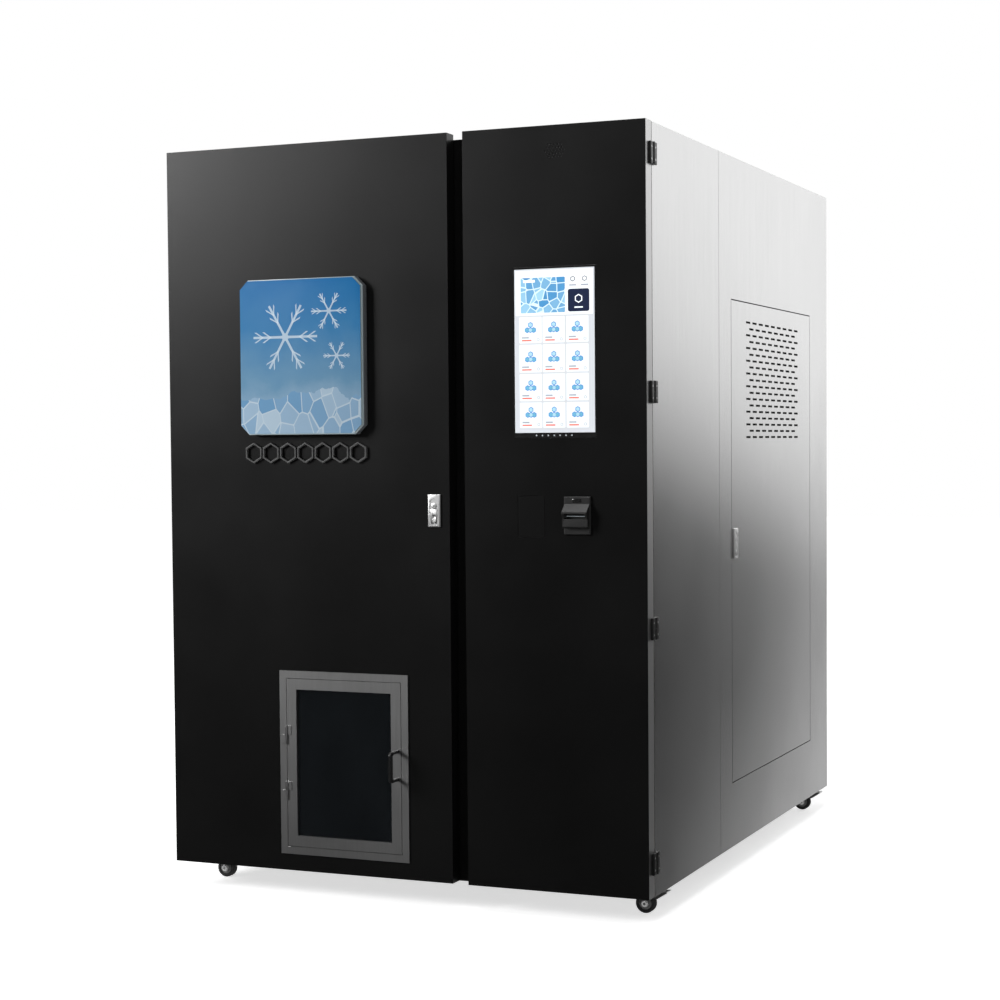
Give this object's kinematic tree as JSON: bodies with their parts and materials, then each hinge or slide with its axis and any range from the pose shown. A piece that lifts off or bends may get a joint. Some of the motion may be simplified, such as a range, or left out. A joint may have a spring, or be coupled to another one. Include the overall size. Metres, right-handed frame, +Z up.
{
  "type": "ice vending machine",
  "caption": "Tall ice vending machine on casters: black front doors with touch screen and pick-up hatch, brushed side with louvred access door, ice plant inside.",
  "frame": {"origin": "on the floor, under the middle of the whole machine's bounding box", "axes": "+X to the right as seen from the front, +Y from the doors towards the back, +Z up"},
  "size_m": [1.601, 2.201, 2.312],
  "materials": {
    "brushed_panel": "brushed",
    "black_coat": "satin",
    "inner_steel": "plain mill",
    "base_steel": "satin",
    "frame_steel": "brushed",
    "lock_chrome": "polished",
    "black_plastic": "fine texture",
    "print_face": "gloss",
    "ring_plastic": "gloss",
    "screen_gloss": "gloss",
    "tinted_glass": "tinted",
    "speaker_cone": "paper cone",
    "hopper_white": "moulded",
    "auger_steel": "brushed",
    "motor_paint": "gloss",
    "control_paint": "fine texture",
    "coil_alloy": "pressed fins",
    "fan_plastic": "moulded",
    "compressor_iron": "black paint",
    "fitting_brass": "machined",
    "caster_zinc": "zinc plated",
    "tyre_rubber": "moulded"
  },
  "bodies": {
    "cabinet": {"base_frame": "base_steel", "floor_pan": "inner_steel", "front_frame": "black_coat", "left_side_panel": "brushed_panel", "right_front_side_panel": "brushed_panel", "right_rear_side_panel": "brushed_panel", "rear_panel": "brushed_panel", "roof_panel": "inner_steel", "bay_partition": "inner_steel", "machine_shelf": "inner_steel", "cabinet_hinge_leaves": "black_coat", "caster_plates": "caster_zinc", "ice_hopper": "hopper_white", "auger_motor": "motor_paint", "ice_maker": "hopper_white", "pick_up_bay": "frame_steel", "condenser": "coil_alloy", "compressor": "compressor_iron", "control_box": "control_paint", "rear_fittings": "fitting_brass"},
    "left_door": {"left_door_hinge_leaves": "black_coat", "left_door_skin": "black_coat", "left_door_back": "inner_steel", "picture_box": "black_plastic", "picture_face": "print_face", "ring_row": "ring_plastic", "pick_up_frame": "frame_steel", "left_lock_frame": "lock_chrome"},
    "pick_up_door": {"pick_up_door_frame": "frame_steel", "pick_up_glass": "tinted_glass", "pick_up_handle": "black_plastic"},
    "right_door": {"right_door_hinge_leaves": "black_coat", "right_door_skin": "black_coat", "right_door_back": "inner_steel", "touch_screen": "screen_gloss", "blank_plate": "black_coat", "card_reader": "black_plastic", "speaker": "speaker_cone"},
    "side_door": {"side_door_skin": "brushed_panel", "side_lock_frame": "lock_chrome"},
    "left_lock_paddle": {"left_lock_paddle": "lock_chrome"},
    "left_key_plug": {"left_key_plug": "lock_chrome"},
    "right_door_bolt": {"right_door_bolt": "inner_steel"},
    "side_lock_paddle": {"side_lock_paddle": "lock_chrome"},
    "side_key_plug": {"side_key_plug": "lock_chrome"},
    "chute_gate": {"chute_gate": "frame_steel"},
    "hopper_auger": {"hopper_auger": "auger_steel"},
    "condenser_fan": {"condenser_fan": "fan_plastic"},
    "caster_fork_front_left": {"caster_fork_front_left": "caster_zinc"},
    "caster_wheel_front_left": {"caster_wheel_front_left": "tyre_rubber"},
    "caster_pedal_front_left": {"caster_pedal_front_left": "caster_zinc"},
    "caster_fork_front_right": {"caster_fork_front_right": "caster_zinc"},
    "caster_wheel_front_right": {"caster_wheel_front_right": "tyre_rubber"},
    "caster_pedal_front_right": {"caster_pedal_front_right": "caster_zinc"},
    "caster_fork_rear_left": {"caster_fork_rear_left": "caster_zinc"},
    "caster_wheel_rear_left": {"caster_wheel_rear_left": "tyre_rubber"},
    "caster_pedal_rear_left": {"caster_pedal_rear_left": "caster_zinc"},
    "caster_fork_rear_right": {"caster_fork_rear_right": "caster_zinc"},
    "caster_wheel_rear_right": {"caster_wheel_rear_right": "tyre_rubber"},
    "caster_pedal_rear_right": {"caster_pedal_rear_right": "caster_zinc"}
  },
  "joints": [
    {"name": "left_door_hinge", "type": "hinge", "parent": "cabinet", "child": "left_door", "pos_m": [-0.7955, -0.983, 1.197], "axis": [0, 0, -1], "range_deg": [0, 110]},
    {"name": "right_door_hinge", "type": "hinge", "parent": "cabinet", "child": "right_door", "pos_m": [0.7955, -0.983, 1.197], "axis": [0, 0, 1], "range_deg": [0, 110]},
    {"name": "pick_up_door_hinge", "type": "hinge", "parent": "left_door", "child": "pick_up_door", "pos_m": [-0.385, -1.0423, 0.418], "axis": [0, 0, -1], "range_deg": [0, 100]},
    {"name": "left_lock_paddle_hinge", "type": "hinge", "parent": "left_door", "child": "left_lock_paddle", "pos_m": [0.123, -1.0376, 1.2007], "axis": [-1, 0, 0], "range_deg": [0, 40], "stiffness_Nm_per_rad": 0.1},
    {"name": "left_key_turn", "type": "hinge", "parent": "left_door", "child": "left_key_plug", "pos_m": [0.123, -1.0345, 1.212], "axis": [0, -1, 0], "range_deg": [0, 90]},
    {"name": "right_bolt_slide", "type": "slide", "parent": "right_door", "child": "right_door_bolt", "axis": [-1, 0, 0], "range_m": [0, 0.022]},
    {"name": "side_door_hinge", "type": "hinge", "parent": "cabinet", "child": "side_door", "pos_m": [0.784, 0.8005, 1.071], "axis": [0, 0, 1], "range_deg": [0, 110]},
    {"name": "side_lock_paddle_hinge", "type": "hinge", "parent": "side_door", "child": "side_lock_paddle", "pos_m": [0.7931, -0.1615, 1.0697], "axis": [0, -1, 0], "range_deg": [0, 40], "stiffness_Nm_per_rad": 0.1},
    {"name": "side_key_turn", "type": "hinge", "parent": "side_door", "child": "side_key_plug", "pos_m": [0.79, -0.1615, 1.081], "axis": [-1, 0, 0], "range_deg": [0, 90]},
    {"name": "chute_gate_hinge", "type": "hinge", "parent": "cabinet", "child": "chute_gate", "pos_m": [-0.2965, -0.622, 0.706], "axis": [1, 0, 0], "range_deg": [0, 75], "stiffness_Nm_per_rad": 0.5, "springref_deg": -34.38},
    {"name": "hopper_auger_spin", "type": "hinge", "parent": "cabinet", "child": "hopper_auger", "pos_m": [-0.2965, -0.1645, 0.985], "axis": [0, 1, 0], "continuous": true},
    {"name": "condenser_fan_spin", "type": "hinge", "parent": "cabinet", "child": "condenser_fan", "pos_m": [0.615, 0.3075, 1.592], "axis": [1, 0, 0], "continuous": true},
    {"name": "caster_swivel_front_left", "type": "hinge", "parent": "cabinet", "child": "caster_fork_front_left", "pos_m": [-0.692, -0.8445, 0.06], "axis": [0, 0, 1], "continuous": true},
    {"name": "caster_roll_front_left", "type": "hinge", "parent": "caster_fork_front_left", "child": "caster_wheel_front_left", "pos_m": [-0.716, -0.8445, 0.03], "axis": [0, 1, 0], "continuous": true},
    {"name": "caster_brake_front_left", "type": "hinge", "parent": "caster_fork_front_left", "child": "caster_pedal_front_left", "pos_m": [-0.73792, -0.8445, 0.05805], "axis": [0, -1, 0], "range_deg": [0, 20]},
    {"name": "caster_swivel_front_right", "type": "hinge", "parent": "cabinet", "child": "caster_fork_front_right", "pos_m": [0.692, -0.8445, 0.06], "axis": [0, 0, 1], "continuous": true},
    {"name": "caster_roll_front_right", "type": "hinge", "parent": "caster_fork_front_right", "child": "caster_wheel_front_right", "pos_m": [0.716, -0.8445, 0.03], "axis": [0, 1, 0], "continuous": true},
    {"name": "caster_brake_front_right", "type": "hinge", "parent": "caster_fork_front_right", "child": "caster_pedal_front_right", "pos_m": [0.73792, -0.8445, 0.05805], "axis": [0, 1, 0], "range_deg": [0, 20]},
    {"name": "caster_swivel_rear_left", "type": "hinge", "parent": "cabinet", "child": "caster_fork_rear_left", "pos_m": [-0.692, 0.9815, 0.06], "axis": [0, 0, 1], "continuous": true},
    {"name": "caster_roll_rear_left", "type": "hinge", "parent": "caster_fork_rear_left", "child": "caster_wheel_rear_left", "pos_m": [-0.716, 0.9815, 0.03], "axis": [0, 1, 0], "continuous": true},
    {"name": "caster_brake_rear_left", "type": "hinge", "parent": "caster_fork_rear_left", "child": "caster_pedal_rear_left", "pos_m": [-0.73792, 0.9815, 0.05805], "axis": [0, -1, 0], "range_deg": [0, 20]},
    {"name": "caster_swivel_rear_right", "type": "hinge", "parent": "cabinet", "child": "caster_fork_rear_right", "pos_m": [0.692, 0.9815, 0.06], "axis": [0, 0, 1], "continuous": true},
    {"name": "caster_roll_rear_right", "type": "hinge", "parent": "caster_fork_rear_right", "child": "caster_wheel_rear_right", "pos_m": [0.716, 0.9815, 0.03], "axis": [0, 1, 0], "continuous": true},
    {"name": "caster_brake_rear_right", "type": "hinge", "parent": "caster_fork_rear_right", "child": "caster_pedal_rear_right", "pos_m": [0.73792, 0.9815, 0.05805], "axis": [0, 1, 0], "range_deg": [0, 20]}
  ]
}
